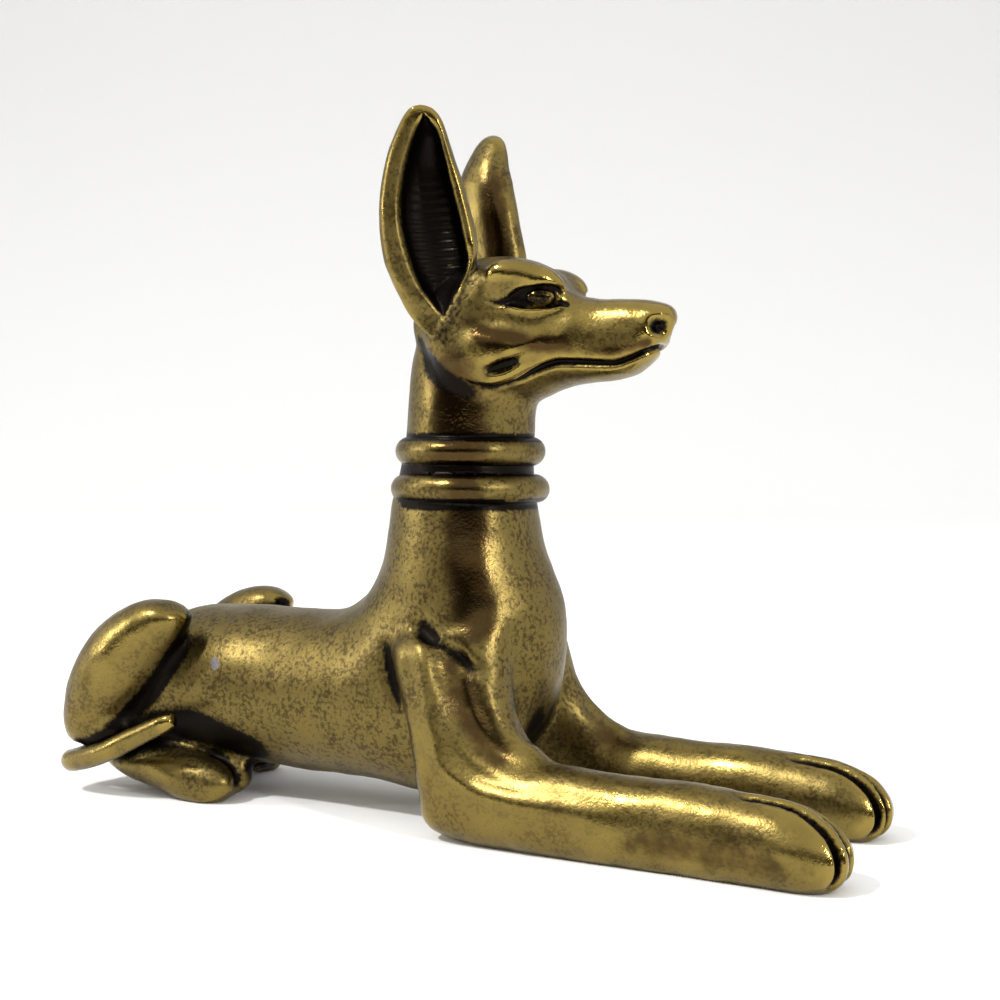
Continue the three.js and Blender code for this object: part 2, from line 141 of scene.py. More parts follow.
# Shares of the way round the ear's front that its front rim and its back rim take
FRONT_RIM_SHARE, BACK_RIM_SHARE = 0.24, 0.3
# The ear's hollow: height, then its back and front edges as shares of the ear's half-width from its middle
HOLLOW = [
    (32.7, 0.88, 0.9), (33.5, 0.25, 0.93), (34.4, -0.15, 0.9), (35.6, -0.36, 0.84), (37.0, -0.46, 0.79),
    (39.0, -0.51, 0.76), (41.0, -0.47, 0.75), (43.0, -0.36, 0.73), (44.3, -0.18, 0.66), (45.35, 0.2, 0.24),
]
HOLLOW_FOOT_FADE, HOLLOW_TIP_FADE = 1.6, 1.2
HOLLOW_ROUNDNESS, RIM_DIP = 0.8, 0.3
# Ribs across the hollow
RIB_PITCH, RIB_DEPTH, RIB_SLANT = 0.56, 0.1, 0.12
RIB_LOW, RIB_HIGH = 33.8, 42.0

# The collar's two rings and the tail, whose points give a share of its radius
COLLAR_MIDDLE, COLLAR_CENTRE = 23.12, 0.54
COLLAR_RING_SPACING, COLLAR_RING_THICKNESS = 2.4, 1.85
UPPER_RING_REACH, LOWER_RING_REACH = 4.9, 5.2
TAIL_THICKNESS = 1.45
TAIL = [
    (-24.9, 0.0, 9.4, 1.3), (-26.7, -0.4, 7.0, 1.2), (-27.1, -2.0, 4.6, 1.0), (-27.2, -4.8, 2.85, 1.0),
    (-27.0, -7.3, 2.6, 1.0), (-23.5, -8.1, 3.6, 1.0), (-20.6, -8.0, 5.0, 0.92), (-18.4, -7.8, 6.05, 0.8),
    (-17.7, -7.7, 6.3, 0.5),
]

# Lines of the carving. A point may give a share of the stroke's strength after its x, y and z

BROW = [(3.5, -3.6, 34.8, 0.5), (4.4, -3.5, 35.3), (5.5, -3.1, 35.5), (6.6, -2.5, 35.2), (7.5, -1.8, 34.7)]
BROW_LINE = [
    (3.5, -3.7, 33.9, 0.2), (4.2, -3.7, 33.6, 0.5), (5.1, -3.45, 33.75), (6.1, -3.15, 34.25),
    (7.1, -2.8, 34.45), (8.0, -2.0, 34.2),
]
BROW_END = [(3.1, -3.9, 33.9, 0.3), (2.95, -3.7, 34.9, 1.0), (3.4, -3.1, 35.9, 0.6), (4.0, -2.4, 36.5, 0.0)]
LOWER_LID = [(5.0, -3.5, 33.3), (6.2, -3.2, 33.0), (7.1, -2.75, 33.05), (8.1, -2.0, 33.35)]
EYE_SOCKET = [(5.8, -3.35, 33.7), (6.7, -3.1, 33.8), (7.6, -2.6, 33.8)]
EYE_MIDDLE = [(6.5, -3.2, 33.85), (7.1, -3.0, 33.85)]
EYE_HOLLOW = [(4.3, -3.9, 32.5), (5.5, -3.6, 32.2), (6.6, -3.2, 32.2), (7.4, -2.7, 32.6)]
EYE_CORNERS = [[(5.0, -3.5, 33.45), (5.6, -3.35, 33.65)], [(7.6, -2.5, 33.7), (8.2, -1.9, 33.5)]]
CHEEK_GROOVE = [
    (4.0, -4.1, 29.2, 0.6), (4.8, -3.9, 29.45, 1.0), (5.6, -3.6, 29.8, 0.7),
    (6.5, -3.2, 30.35, 0.55), (7.1, -2.9, 31.0, 0.3), (7.5, -2.6, 31.8, 0.0),
]
MOUTH = [
    (-1.2, -3.2, 31.6, 0.4), (-0.35, -3.5, 30.8, 0.8), (0.75, -3.9, 29.8, 0.9), (1.9, -3.9, 28.9, 0.9),
    (3.1, -3.5, 28.45, 0.9), (4.2, -3.0, 28.4, 0.8), (5.4, -2.6, 28.75, 0.9), (6.5, -2.4, 29.35, 1.0),
    (7.7, -2.3, 29.75, 1.0), (8.9, -2.1, 29.77, 1.0), (10.4, -1.9, 29.7, 1.0), (11.4, -1.75, 29.68, 1.0),
    (12.4, -1.6, 29.95, 1.1), (13.2, -1.25, 30.3, 1.4), (13.8, -0.6, 30.55, 1.5), (14.0, 0.0, 30.6, 1.4),
]
JAW_SHADOW = [
    (-1.6, -3.5, 31.2, 0.6), (-0.6, -3.8, 29.9, 1.0), (0.8, -4.0, 28.8, 1.0), (2.4, -3.9, 28.0, 0.6),
]
NOSTRIL = [(13.9, -1.2, 31.95), (14.25, -0.95, 31.85)]
EAR_FOOT = [(0.8, -4.3, 31.4), (1.6, -4.1, 32.9), (2.6, -3.7, 34.7), (3.0, -3.2, 36.0), (2.7, -2.4, 36.8)]
SHOULDER_CREASE = [
    (0.2, -6.0, 13.5, 1.0), (1.1, -6.1, 12.8, 1.0), (1.9, -6.1, 12.3, 0.6), (3.9, -5.9, 11.1, 0.8),
    (5.0, -5.4, 10.5, 0.0),
]
ARM_GROOVE = [
    (-2.6, -5.9, 12.2, 1.0), (-2.1, -6.0, 10.6, 1.0), (-1.4, -6.2, 8.6, 0.7), (-0.7, -6.3, 6.6, 0.6),
    (-0.1, -6.2, 4.9, 0.5), (0.3, -5.9, 3.4, 0.3),
]
ARM_RIDGE = [
    (0.4, -6.7, 13.2, 0.0), (0.8, -6.9, 12.2, 0.8), (1.5, -7.3, 10.2, 1.0), (2.4, -7.9, 7.4, 1.0),
    (3.4, -8.2, 5.2, 1.0), (5.6, -8.3, 4.1, 1.0), (8.6, -8.4, 3.7, 0.7), (14.8, -8.4, 3.5, 0.0),
]
ARM_VALLEY = [
    (2.1, -6.2, 12.9, 0.0), (2.7, -6.6, 11.6, 0.8), (3.6, -6.9, 10.0, 1.0), (4.6, -7.2, 8.2, 1.0),
    (6.6, -7.3, 6.4, 0.7), (9.6, -7.0, 5.9, 0.0),
]
CHEST_FOLD = [(6.2, -4.9, 11.5, 0.0), (6.9, -4.6, 9.7, 0.8), (7.2, -4.9, 7.5, 1.0), (7.0, -5.6, 5.9, 0.4)]
CHEST_PIT = [
    (6.6, -1.0, 8.4, 0.3), (6.2, -0.9, 7.4, 0.8), (5.9, -0.7, 6.4, 1.0), (5.4, 0.6, 5.8, 1.0),
    (6.4, 2.4, 5.6, 0.6),
]
HIP_FOLD = [
    (-17.2, -4.6, 13.2, 0.3), (-15.0, -5.0, 12.6, 1.0), (-13.2, -5.3, 11.9, 1.0), (-11.7, -5.5, 11.3, 0.0),
]
HIND_TOE_SPLIT = [(-19.0, -4.3, 3.7), (-16.8, -4.2, 3.3), (-15.5, -4.3, 2.6), (-14.7, -4.4, 1.7)]

# Grooves between the toes of the forepaws: y on each of these x, for two grooves on either paw
TOE_X = (21.0, 24.5, 26.2, 27.4)
RIGHT_TOE_ROWS = ((-6.6, -6.6, -7.0, -7.5), (-5.35, -5.4, -5.7, -6.2))
LEFT_TOE_ROWS = ((5.2, 5.1, 4.8, 4.4), (6.3, 6.2, 5.8, 5.3))
TOE_GROOVE_WIDTH, TOE_GROOVE_DEPTH = 0.46, 0.65
TOE_GROOVE_START, TOE_GROOVE_RUN = 20.4, 2.6
TOE_GROOVE_FOOT, TOE_GROOVE_RISE = 0.7, 0.6

# Where soot and painted shade lie without a stroke; on the far hind foot it is painted shadow
UNDER_HAUNCH = [
    (-26.6, -6.8, 3.6), (-24.4, -7.2, 4.3), (-22.4, -6.6, 6.0), (-20.8, -6.2, 8.0), (-19.3, -5.8, 10.2),
    (-18.0, -5.4, 12.4), (-17.6, -5.0, 13.4),
]
UNDER_TAIL = [
    (-24.0, -6.4, 4.0), (-21.0, -5.8, 4.9), (-18.0, -5.4, 5.4), (-15.8, -4.8, 5.0), (-14.0, -4.2, 4.2),
]
INNER_FOOT = [(-21.0, -2.6, 2.6), (-18.0, -2.4, 2.2), (-15.0, -2.6, 2.6)]
# The far hind foot's front, painted black as a shadow
FAR_FOOT_SHADOW = [(-20.0, 3.6, 2.0), (-17.6, 3.8, 2.0)]
# Round the collar: height from its middle and how far the soot and painted shade spread up and down
COLLAR_GAPS = [(-2.15, 0.55), (0.0, 0.52), (2.05, 0.32)]
COLLAR_SOOT_AND_SHADE_REACH = 4.95
# In the ears, from the ear's plane
EAR_SOOT_AND_SHADE_DEEPEST, EAR_SOOT_AND_SHADE_HIGHEST = -1.5, 0.56

# A pale spot on the flank, and paths of painted dark reflection in brown, each with a reach and a share
PALE_SPOT = [(-16.1, -5.5, 10.1), (-15.9, -5.5, 9.8)]
PALE_SPOT_REACH = 0.68
# Painted dark reflection: brown bands on chest, neck, cheeks, muzzle, arm, forearm and far ear where the
# brass would reflect a dark surround
DARK_REFLECTION_PATHS = [
    ([(2.5, -4.3, 20.8), (2.9, -4.6, 18.8), (3.3, -4.9, 16.0), (3.8, -5.1, 13.6, 0.9),
      (4.3, -5.3, 11.5, 0.0)], 2.5, 1.0),
    ([(1.2, -4.1, 28.8), (1.7, -4.2, 26.2), (1.9, -4.2, 24.0)], 3.4, 1.0),
    ([(3.6, -4.3, 31.6), (5.2, -3.8, 31.4), (6.6, -3.1, 31.0), (8.2, -2.3, 30.9)], 1.1, 0.8),
    ([(8.8, -2.2, 30.5, 0.4), (11.5, -1.9, 30.5), (13.4, -1.5, 31.0)], 0.7, 0.7),
    (ARM_VALLEY, 2.1, 0.9),
    ([(8.0, -4.0, 7.0), (9.0, -4.5, 5.6), (11.5, -5.2, 5.6, 0.3)], 2.0, 0.7),
    ([(13.0, -8.2, 2.6, 0.3), (17.0, -8.2, 2.3), (22.0, -8.3, 2.2), (25.5, -8.2, 2.2, 0.5)], 2.2, 0.55),
    ([(1.3, -2.3, 36.5), (0.9, -2.4, 40.0), (0.3, -3.3, 44.0, 0.3)], 1.7, 1.0),
    ([(2.6, -4.0, 32.6, 0.6), (3.9, -4.2, 31.0), (5.0, -3.8, 30.2, 0.5)], 1.0, 0.7),
]


# Curves and fades

def catmull(rows, t):
    """Points at shares t of a smooth curve through rows, evenly spaced by row."""
    rows = np.asarray(rows, float)
    padded = np.vstack([2 * rows[0] - rows[1], rows, 2 * rows[-1] - rows[-2]])
    place = np.clip(np.asarray(t, float), 0, 1) * (len(rows) - 1)
    span = np.minimum(place.astype(int), len(rows) - 2)
    u = (place - span)[:, None]
    before, start, end, after = (padded[span + k] for k in range(4))
    leave, arrive = (end - before) / 2, (after - start) / 2
    return ((2 * start - 2 * end + leave + arrive) * u ** 3
            + (3 * end - 3 * start - 2 * leave - arrive) * u ** 2 + leave * u + start)


def unit(vectors):
    """The vectors at length 1."""
    return vectors / np.maximum(np.linalg.norm(vectors, axis=-1, keepdims=True), 1e-9)


def falloff(distance, reach):
    """1 at distance 0, smoothly down to 0 at reach."""
    share = np.clip(1 - distance / reach, 0, 1)
    return share * share * (3 - 2 * share)


def up_to(values, limit, reach):
    """1 up to a limit, smoothly down to 0 at reach beyond it."""
    return falloff(np.maximum(values - limit, 0), reach)


def past(values, start, reach):
    """0 up to a start, evenly up to 1 at reach beyond it."""
    return np.clip((values - start) / reach, 0, 1)


def rounded(share):
    """The height of a half circle at a share of its width."""
    return np.sqrt(np.clip(1 - (2 * share - 1) ** 2, 0, 1))


# Forms, each shaped from a ball or a circle

def ball(clay, place, sides, rings, side=1, settle=None):
    """A closed form: a ball whose points move to place(share along, angle round), mirrored for side -1.
    A left-hand form can also settle into a place of its own."""
    verts = bmesh.ops.create_uvsphere(clay, u_segments=sides, v_segments=rings, radius=1)["verts"]
    sphere = np.array([vert.co for vert in verts])
    along = np.arccos(np.clip(-sphere[:, 2], -1, 1)) / math.pi
    around = np.arctan2(sphere[:, 1], sphere[:, 0])
    points = place(along, around)
    points[:, 1] *= side
    if side == -1 and settle:
        points = settle(points)
    for vert, point in zip(verts, points):
        vert.co = point


def station_rows(stations, y):
    """Stations as rows: crest point, keel point, half-width, widest place and squareness."""
    rows = []
    for crest, keel, half, *shape in stations:
        widest, square = shape or (0.0, 2.0)
        rows.append([crest[0], crest[2] if len(crest) > 2 else y, crest[1],
                     keel[0], keel[2] if len(keel) > 2 else y, keel[1], half, widest, square])
    return rows


def loft(clay, stations, y=0.0, sides=48, rings=72, side=1, settle=None):
    """A form between a crest line and a keel line, such as a trunk or a limb."""
    rows = station_rows(stations, y)

    def middle(t):
        here = catmull(rows, t)
        return (here[:, 0:3] + here[:, 3:6]) / 2

    def place(along, around):
        here = catmull(rows, along)
        up = (here[:, 0:3] - here[:, 3:6]) / 2
        step = 0.5 / rings
        travel = middle(np.minimum(along + step, 1)) - middle(np.maximum(along - step, 0))
        across = unit(np.cross(up, travel))
        inside = ((along > 1e-4) & (along < 1 - 1e-4))[:, None]
        power = 2 / here[:, 8]
        level = np.sign(np.cos(around)) * np.abs(np.cos(around)) ** power
        reach = np.sign(np.sin(around)) * np.abs(np.sin(around)) ** power * np.maximum(here[:, 6], 0.05)
        lift = level + here[:, 7] * (1 - level ** 2)
        return middle(along) + inside * (up * lift[:, None] + across * reach[:, None])

    ball(clay, place, sides, rings, side, settle)


def set_back(points):
    """The left foreleg's place, a little behind the right one's."""
    return points - [LEFT_PAW_SETBACK, 0, 0]


def drawn_in(points):
    """The left hind foot's place, drawn in towards its heel."""
    return (points - [HEEL, 0, 0]) * [LEFT_FOOT_SHARE, 1, 1] + [HEEL, 0, 0]


def hollow_edges(z):
    """The back and front edges of the ear's hollow at a height, and how open it is there."""
    heights = [row[0] for row in HOLLOW]
    place = np.interp(z, heights, np.linspace(0, 1, len(HOLLOW)))
    edges = catmull(HOLLOW, place)
    from_foot, to_tip = (z - heights[0]) / HOLLOW_FOOT_FADE, (heights[-1] - z) / HOLLOW_TIP_FADE
    ends = np.clip(np.minimum(from_foot, to_tip), 0, 1)
    return edges[:, 1], np.maximum(edges[:, 2], edges[:, 1] + 0.03), ends


def ear(clay, side):
    """A leaf with a rounded back, a rolled rim and a ribbed hollow on the side that faces out."""
    rows = [[front[0], front[1], z, back[0], back[1], z] for z, front, back in EAR]

    def hollow_floor(z, u, within, ends):
        """The hollow's height above the ear's plane, with its ribs."""
        bowl = np.sqrt(np.clip(1 - HOLLOW_ROUNDNESS * (2 * within - 1) ** 2, 0, 1)) * ends
        ribs = RIB_DEPTH * np.cos(2 * math.pi * (z - RIB_SLANT * u) / RIB_PITCH)
        ribs *= falloff(np.abs(z - (RIB_LOW + RIB_HIGH) / 2), (RIB_HIGH - RIB_LOW) / 2) ** 0.5
        brink = EAR_RIM_HEIGHT * (1 - RIM_DIP * ends)
        return brink - (brink + EAR_HOLLOW) * bowl + ribs * bowl

    def place(along, around):
        here = catmull(rows, along)
        edge = (here[:, 0:3] - here[:, 3:6]) / 2
        middle = (here[:, 0:3] + here[:, 3:6]) / 2
        face = unit(np.cross(edge, np.tile([0.0, 0.0, 1.0], (len(edge), 1))))
        narrow = np.minimum(1, 2 * np.linalg.norm(edge, axis=1) / EAR_FULL_WIDTH)
        back, front, ends = hollow_edges(middle[:, 2])
        share = np.abs(around) / math.pi
        on_front = np.clip(share / FRONT_RIM_SHARE, 0, 1)
        on_back = np.clip((share - 1 + BACK_RIM_SHARE) / BACK_RIM_SHARE, 0, 1)
        within = np.clip((share - FRONT_RIM_SHARE) / (1 - FRONT_RIM_SHARE - BACK_RIM_SHARE), 0, 1)
        front_rim = front + (1 - front) * np.cos(math.pi / 2 * on_front)
        back_rim = back - (1 + back) * np.sin(math.pi / 2 * on_back)
        inner = np.where(on_back > 0, back_rim, front + (back - front) * within)
        u = np.where(on_front < 1, front_rim, inner)
        across = np.where(on_front < 1, (front_rim - front) / (1 - front), (back - back_rim) / (1 + back))
        roll = rounded(across)
        rim = EAR_RIM_HEIGHT * np.where(across > 0.5, roll, 1 - RIM_DIP * (1 - roll) * ends)
        outer = np.where((on_front < 1) | (on_back > 0), rim, hollow_floor(middle[:, 2], u, within, ends))
        rounded_back = -EAR_BACK * np.sqrt(np.clip(1 - u ** 2, 0, 1))
        depth = np.where(around > 0, outer, rounded_back)
        tip = np.maximum(along - EAR_TIP_START, 0) / EAR_TIP_RUN
        inside = (along > 1e-4) * np.sqrt(np.clip(1 - tip ** 2, 0, 1))
        return middle + edge * (u * inside)[:, None] + face * (depth * narrow * inside)[:, None]

    ball(clay, place, sides=84, rings=104, side=side)


def bar(clay, points, thickness, sides=32, rings=96):
    """A round bar through points that each give a share of its radius."""
    def place(along, around):
        here = catmull(points, along)
        step = 0.5 / rings
        travel = unit(catmull(points, np.minimum(along + step, 1))[:, :3]
                      - catmull(points, np.maximum(along - step, 0))[:, :3])
        across = unit(np.cross(np.tile([0.0, 0.0, 1.0], (len(travel), 1)), travel))
        up = np.cross(travel, across)
        inside = ((along > 1e-4) & (along < 1 - 1e-4))[:, None]
        radius = here[:, 3:4] * thickness / 2 * inside
        return here[:, :3] + radius * (across * np.cos(around)[:, None] + up * np.sin(around)[:, None])

    ball(clay, place, sides, rings)


def swelling(clay, middle, half, tilt, turn, side):
    """An egg-like swelling, turned about Y and Z by degrees."""
    matrix = (Matrix.Scale(side, 4, (0, 1, 0)) @ Matrix.Translation(middle)
              @ Matrix.Rotation(math.radians(turn), 4, "Z") @ Matrix.Rotation(-math.radians(tilt), 4, "Y")
              @ Matrix.Diagonal((*half, 1)))
    bmesh.ops.create_uvsphere(clay, u_segments=32, v_segments=20, radius=1, matrix=matrix)


def collar_ring(clay, reach, height):
    """A level ring: a circle spun round the neck."""
    radius = COLLAR_RING_THICKNESS / 2
    place = Matrix.Translation((COLLAR_CENTRE + reach - radius, 0, height))
    made = bmesh.ops.create_circle(clay, segments=24, radius=radius,
                                   matrix=place @ Matrix.Rotation(math.pi / 2, 4, "X"))
    edges = list(dict.fromkeys(edge for vert in made["verts"] for edge in vert.link_edges))
    bmesh.ops.spin(clay, geom=edges + made["verts"], cent=(COLLAR_CENTRE, 0, height), axis=(0, 0, 1),
                   angle=2 * math.pi, steps=96, use_merge=True)


def body_clay():
    """The masses that flow into one another."""
    clay = bmesh.new()
    loft(clay, TRUNK, sides=72, rings=160)
    loft(clay, HEAD, sides=64, rings=96)
    for side in (1, -1):
        loft(clay, SHOULDER, side=side)
        loft(clay, UPPER_ARM, side=side)
        loft(clay, FORELEG, FORELEG_Y, rings=120, side=side, settle=set_back)
        loft(clay, HAUNCH, HAUNCH_Y, side=side)
        loft(clay, HIND_FOOT, HIND_FOOT_Y, side=side, settle=drawn_in)
        loft(clay, INNER_HIND_TOE, INNER_TOE_Y, side=side, settle=drawn_in)
        for form in (HEEL_PAD, BROW_RIDGE, CHEEK, TEMPLE, EAR_ROOT):
            swelling(clay, *form, side)
    bmesh.ops.recalc_face_normals(clay, faces=clay.faces)
    return clay


def crisp_clay():
    """The forms with a clean edge round them: tail, collar, ears and eyeballs."""
    clay = bmesh.new()
    bar(clay, TAIL, TAIL_THICKNESS)
    collar_ring(clay, UPPER_RING_REACH, COLLAR_MIDDLE + COLLAR_RING_SPACING / 2)
    collar_ring(clay, LOWER_RING_REACH, COLLAR_MIDDLE - COLLAR_RING_SPACING / 2)
    for side in (1, -1):
        ear(clay, side)
        swelling(clay, *EYEBALL, side)
    bmesh.ops.recalc_face_normals(clay, faces=clay.faces)
    return clay


# One skin from the forms

def piece_of(clay, name):
    """An object from worked clay."""
    mesh = bpy.data.meshes.new(name)
    clay.to_mesh(mesh)
    clay.free()
    piece = bpy.data.objects.new(name, mesh)
    bpy.context.scene.collection.objects.link(piece)
    return piece


def settle_modifier(piece):
    """Makes a piece's modifier part of its mesh."""
    before = piece.data
    after = bpy.data.meshes.new_from_object(piece.evaluated_get(bpy.context.evaluated_depsgraph_get()))
    piece.modifiers.clear()
    piece.data = after
    bpy.data.meshes.remove(before)


def fuse(piece):
    """One closed skin over overlapping masses."""
    skin = piece.modifiers.new("Skin", "REMESH")
    skin.mode = "VOXEL"
    skin.voxel_size = SKIN
    settle_modifier(piece)


def join_on(piece, clay):
    """Joins crisp forms to a piece."""
    added = piece_of(clay, "crisp_forms")
    union = piece.modifiers.new("Union", "BOOLEAN")
    union.operation = "UNION"
    union.solver = "EXACT"
    union.object = added
    settle_modifier(piece)
    bpy.data.objects.remove(added)


def refine(piece, regions):
    """Splits the skin's faces inside boxes, so that they can hold finer carving."""
    work = bmesh.new()
    work.from_mesh(piece.data)

    def in_a_region(edge):
        middle = (edge.verts[0].co + edge.verts[1].co) / 2
        return any(all(start < c < end for c, start, end in zip(middle, *box)) for box in regions)

    edges = [edge for edge in work.edges if in_a_region(edge)]
    bmesh.ops.subdivide_edges(work, edges=edges, cuts=1, use_grid_fill=True)
    bmesh.ops.triangulate(work, faces=[face for face in work.faces if len(face.verts) > 4])
    work.to_mesh(piece.data)
    work.free()


# The skin as arrays

def read_points(mesh):
    points = np.empty(len(mesh.vertices) * 3)
    mesh.vertices.foreach_get("co", points)
    return points.reshape(-1, 3)


def write_points(mesh, points):
    mesh.vertices.foreach_set("co", points.ravel())
    mesh.update()


def read_edges(mesh):
    edges = np.empty(len(mesh.edges) * 2, int)
    mesh.edges.foreach_get("vertices", edges)
    return edges.reshape(-1, 2)


def neighbour_mean(values, edges):
    """Each point's mean over the points that an edge joins it to."""
    count = np.bincount(edges.ravel(), minlength=len(values))
    first, second = edges.T
    total = [np.bincount(first, column[second], len(values))
             + np.bincount(second, column[first], len(values)) for column in values.T]
    return np.stack(total, axis=1) / np.maximum(count, 1)[:, None]


def relax(values, edges, times):
    """Moves each value halfway to its neighbours' mean, again and again."""
    for _ in range(times):
        values = values + 0.5 * (neighbour_mean(values, edges) - values)
    return values


def read_normals(mesh, edges):
    normals = np.empty(len(mesh.vertices) * 3)
    mesh.vertex_normals.foreach_get("vector", normals)
    return unit(relax(normals.reshape(-1, 3), edges, 2))


class Carving:
    """The skin as it is carved: points, normals, and a record of where soot and painted shade lie."""

    def __init__(self, mesh):
        self.mesh = mesh
        self.points = read_points(mesh)
        self.edges = read_edges(mesh)
        self.soot_and_shade = np.zeros(len(self.points))
        self.normals = read_normals(mesh, self.edges)

    def refresh(self):
        write_points(self.mesh, self.points)
        self.normals = read_normals(self.mesh, self.edges)

    def relax(self, times):
        self.points = relax(self.points, self.edges, times)
        self.refresh()

    def nearness(self, path, reach, sides=(1, -1)):
        """How near each point is to a path, from 1 on it to 0 at reach; side -1 is the path's mirror image.
        A path's points may each give a strength."""
        result = np.zeros(len(self.points))
        rows = [(*row, 1.0)[:4] for row in path]
        samples = catmull(rows, np.linspace(0, 1, 12 * len(rows)))
        for side in sides:
            trail = samples[:, :3] * [1, side, 1]
            box = (self.points > trail.min(0) - reach).all(1) & (self.points < trail.max(0) + reach).all(1)
            which = np.nonzero(box)[0]
            if len(which):
                gap = np.linalg.norm(self.points[which, None] - trail[None], axis=2)
                nearest = gap.argmin(1)
                near = falloff(gap[np.arange(len(which)), nearest], reach) * samples[nearest, 3]
                result[which] = np.maximum(result[which], near)
        return result

    def gather(self, soot_and_shade):
        """Keeps the most soot and painted shade that any stroke or darkened path has left at each point."""
        self.soot_and_shade = np.maximum(self.soot_and_shade, soot_and_shade)

    def stroke(self, path, reach, depth, soot_and_shade=0.0):
        """Cuts a groove along a path, or raises a ridge if depth is negative, and may leave soot and painted
        shade in it.
        """
        near = self.nearness(path, reach)
        self.gather(np.clip(1.6 * near - 0.15, 0, 1) * soot_and_shade)
        self.points = self.points - self.normals * (near * depth)[:, None]
        self.refresh()

    def lay_soot_and_shade(self, path, reach, amount, sides=(1, -1)):
        """Leaves soot and painted shade along a path without a stroke."""
        self.gather(np.clip(1.5 * self.nearness(path, reach, sides), 0, 1) * amount)

    def soften(self, path, reach, times):
        """Rounds off the skin near a path."""
        near = self.nearness(path, reach)[:, None]
        self.points = self.points + near * (relax(self.points, self.edges, times) - self.points)
        self.refresh()

    def carry_over(self, earlier):
        """Takes the soot and painted shade of an earlier skin, point by point, where the two skins meet."""
        tree = kdtree.KDTree(len(earlier.points))
        for index, point in enumerate(earlier.points):
            tree.insert(point, index)
        tree.balance()
        for index, point in enumerate(self.points):
            _, nearest, distance = tree.find(point)
            self.soot_and_shade[index] = earlier.soot_and_shade[nearest] * (distance < SKIN / 2)

    def uneven(self, height, size):
        """The slightly wavy surface of a hand-finished casting."""
        swell = np.array([noise.noise(Vector(point) / size) for point in self.points])
        self.points = self.points + self.normals * (swell * height)[:, None]
        self.refresh()

    def flatten_soles(self):
        """Nothing reaches below the ground."""
        self.points[:, 2] = np.maximum(self.points[:, 2], ORIGIN.z)
        self.refresh()


# Carving, in the order in which it is cut: each stroke moves the skin that the next one finds

def carve_eyes(skin):
    """The brow, the socket with its black line above, and the lid below."""
    skin.stroke(BROW, reach=1.3, depth=-0.35)
    skin.stroke(EYE_SOCKET, reach=0.8, depth=0.45, soot_and_shade=1.0)
    skin.stroke(BROW_LINE, reach=0.42, depth=0.34, soot_and_shade=1.0)
    skin.stroke(LOWER_LID, reach=0.35, depth=-0.14)
    for corner in EYE_CORNERS:
        skin.stroke(corner, reach=0.5, depth=0.12, soot_and_shade=1.0)
    skin.stroke(EYE_HOLLOW, reach=1.5, depth=0.3)


def carve_muzzle(skin):
    """The cheek's crease, the end of the brow, the mouth with its shadow under the jaw, and the nostrils."""
    skin.stroke(CHEEK_GROOVE[:3], reach=0.36, depth=0.28, soot_and_shade=1.0)
    skin.stroke(CHEEK_GROOVE, reach=0.85, depth=0.4, soot_and_shade=0.2)
    skin.stroke(BROW_END, reach=1.1, depth=0.22, soot_and_shade=0.25)
    skin.stroke(MOUTH, reach=0.38, depth=0.38, soot_and_shade=1.0)
    skin.lay_soot_and_shade(JAW_SHADOW, reach=1.25, amount=0.85)
    skin.stroke(NOSTRIL, reach=1.3, depth=-0.1)
    skin.lay_soot_and_shade(NOSTRIL, reach=0.85, amount=1.0)
    skin.stroke(NOSTRIL, reach=0.8, depth=0.9)
    skin.soften(NOSTRIL, reach=1.5, times=3)


def carve_body(skin):
    """The upper arm's ridge and grooves, the shoulder's crease, and the folds of chest and hip."""
    skin.stroke(ARM_RIDGE, reach=1.1, depth=-0.32)
    skin.stroke(ARM_VALLEY, reach=1.5, depth=0.6, soot_and_shade=0.15)
    skin.stroke(SHOULDER_CREASE[:2], reach=0.6, depth=0.35, soot_and_shade=1.0)
    skin.stroke(SHOULDER_CREASE, reach=0.9, depth=0.35, soot_and_shade=0.8)
    skin.stroke(ARM_GROOVE[:3], reach=0.6, depth=0.25, soot_and_shade=0.9)
    skin.stroke(ARM_GROOVE, reach=0.55, depth=0.32, soot_and_shade=1.0)
    skin.stroke(CHEST_FOLD, reach=0.9, depth=0.35, soot_and_shade=0.3)
    # The chest pit's black is painted shade between the forelegs, with soot
    skin.stroke(CHEST_PIT, reach=1.7, depth=0.3, soot_and_shade=0.75)
    skin.stroke(HIP_FOLD, reach=0.9, depth=0.14)


def carve_toes(skin):
    """Splits each hind foot, and cuts grooves over the top and front of both forepaws."""
    skin.stroke(HIND_TOE_SPLIT, reach=0.7, depth=0.35, soot_and_shade=0.9)
    x, y, z = skin.points.T
    ahead = x + np.where(y > 0, LEFT_PAW_SETBACK, 0)
    near = np.max([falloff(np.abs(y - np.interp(ahead, TOE_X, row)), TOE_GROOVE_WIDTH)
                   for row in RIGHT_TOE_ROWS + LEFT_TOE_ROWS], axis=0)
    near = near * past(ahead, TOE_GROOVE_START, TOE_GROOVE_RUN) * past(z, TOE_GROOVE_FOOT, TOE_GROOVE_RISE)
    skin.gather(np.clip(1.6 * near, 0, 1))
    skin.points = skin.points - skin.normals * (near * TOE_GROOVE_DEPTH)[:, None]
    skin.refresh()


def soot_and_shade_round_collar(skin):
    """Blackens the neck above, between and below the rings with soot and painted shade."""
    x, y, z = skin.points.T
    from_axis = np.hypot(x - COLLAR_CENTRE, y)
    for height, reach in COLLAR_GAPS:
        near = falloff(np.abs(z - COLLAR_MIDDLE - height), reach) * (from_axis < COLLAR_SOOT_AND_SHADE_REACH)
        skin.gather(np.clip(2 * near, 0, 1))


